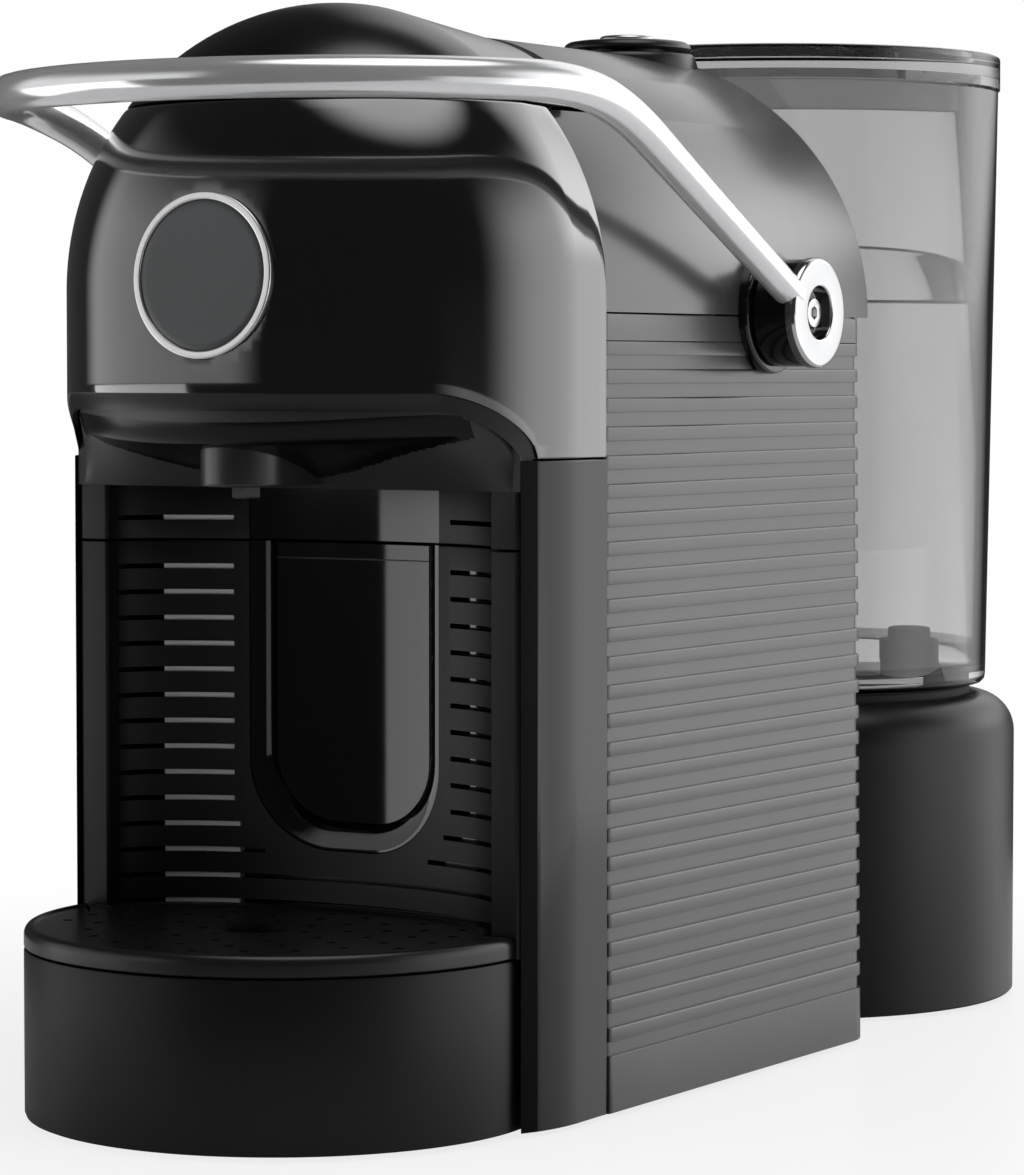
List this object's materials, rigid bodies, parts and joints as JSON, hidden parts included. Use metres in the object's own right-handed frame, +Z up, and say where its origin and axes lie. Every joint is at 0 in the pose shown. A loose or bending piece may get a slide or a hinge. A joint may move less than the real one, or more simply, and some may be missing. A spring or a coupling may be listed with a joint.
{
  "type": "pod coffee machine",
  "caption": "Compact pod coffee machine with a hoop lever, a lift-up pod hatch, a pull-out drip drum with pod bin, and a lift-off clear water tank.",
  "frame": {"origin": "on the floor, below the middle of the machine's bounding box", "axes": "+Z up, the cup side faces -Y and the water tank is at +Y, +X is the machine's left-hand side seen from behind the tank turned to the front (the right side seen from the cup side)"},
  "size_m": [0.1516, 0.341, 0.2421],
  "materials": {
    "grey_satin": "satin, fine grain",
    "black_gloss": "piano gloss",
    "black_matte": "fine grained",
    "bay_satin": "satin",
    "dark_part": "moulded",
    "chrome": "polished",
    "silver": "satin",
    "steel": "machined",
    "rubber": "soft",
    "seal": "silicone",
    "hose": "flexible tube",
    "cream": "moulded",
    "board": "circuit board",
    "smoke": "smoked clear plastic"
  },
  "bodies": {
    "machine": {"base_plate": "black_matte", "rubber_feet": "rubber", "side_panel_right": "grey_satin", "side_panel_left": "grey_satin", "top_cover": "grey_satin", "rear_panel": "grey_satin", "front_housing": "black_gloss", "side_post_right": "black_matte", "side_post_left": "black_matte", "bay_frame": "bay_satin", "coffee_spout": "black_matte", "spout_nozzle": "steel", "badge_disc": "black_matte", "badge_ring": "silver", "tank_base": "grey_satin", "tank_seat_ring": "dark_part", "tank_port": "dark_part", "brew_frame": "dark_part", "brew_head": "dark_part", "hatch_bracket": "dark_part", "hatch_pin": "steel", "shaft_collars": "dark_part", "boiler": "silver", "pump": "steel", "pump_mounts": "rubber", "flow_meter": "cream", "suction_hose": "hose", "pressure_hose": "hose", "brew_pipe": "hose", "circuit_board": "board", "button_base": "black_matte", "cord_gland": "dark_part", "base_screws": "steel", "drawer_rails": "dark_part"},
    "lever": {"lever_bar": "chrome", "lever_hub_right": "chrome", "lever_hub_left": "chrome", "hub_screws": "steel", "lever_shaft": "steel", "drive_crank": "steel"},
    "piston": {"brew_piston": "dark_part", "piston_seal": "seal"},
    "hatch": {"capsule_hatch": "black_gloss", "hatch_hinge": "dark_part"},
    "drawer": {"drip_drum": "black_matte", "bay_wall": "bay_satin", "pod_bin": "black_gloss"},
    "grille": {"drip_grille": "black_gloss"},
    "tank": {"water_tank": "smoke", "tank_valve": "dark_part"},
    "valve": {"valve_poppet": "dark_part"},
    "lid": {"tank_lid": "smoke"},
    "button": {"button_cap": "black_matte", "button_disc": "silver"}
  },
  "joints": [
    {"name": "lever_lift", "type": "hinge", "parent": "machine", "child": "lever", "pos_m": [0, -0.0094, 0.1738], "axis": [-1, 0, 0], "range_deg": [0, 90]},
    {"name": "piston_slide", "type": "slide", "parent": "machine", "child": "piston", "axis": [0, 1, 0], "range_m": [0, 0.026]},
    {"name": "hatch_lift", "type": "hinge", "parent": "machine", "child": "hatch", "pos_m": [0, -0.0486, 0.23], "axis": [-1, 0, 0], "range_deg": [0, 51]},
    {"name": "drawer_slide", "type": "slide", "parent": "machine", "child": "drawer", "axis": [0, -1, 0], "range_m": [0, 0.12]},
    {"name": "grille_lift", "type": "slide", "parent": "drawer", "child": "grille", "axis": [0, 0, 1], "range_m": [0, 0.03]},
    {"name": "tank_lift", "type": "slide", "parent": "machine", "child": "tank", "axis": [0, 0, 1], "range_m": [0, 0.17]},
    {"name": "valve_lift", "type": "slide", "parent": "tank", "child": "valve", "axis": [0, 0, 1], "range_m": [0, 0.003], "stiffness_N_per_m": 60, "springref_m": -0.001},
    {"name": "lid_lift", "type": "slide", "parent": "tank", "child": "lid", "axis": [0, 0, 1], "range_m": [0, 0.04]},
    {"name": "button_press", "type": "slide", "parent": "machine", "child": "button", "axis": [0, 0, -1], "range_m": [0, 0.0008], "stiffness_N_per_m": 400, "springref_m": -0.001}
  ],
  "couplings": [
    {"joint": "piston_slide", "follows": "lever_lift", "m_per_rad": 0.015915},
    {"joint": "hatch_lift", "follows": "lever_lift", "ratio": 0.55556}
  ]
}
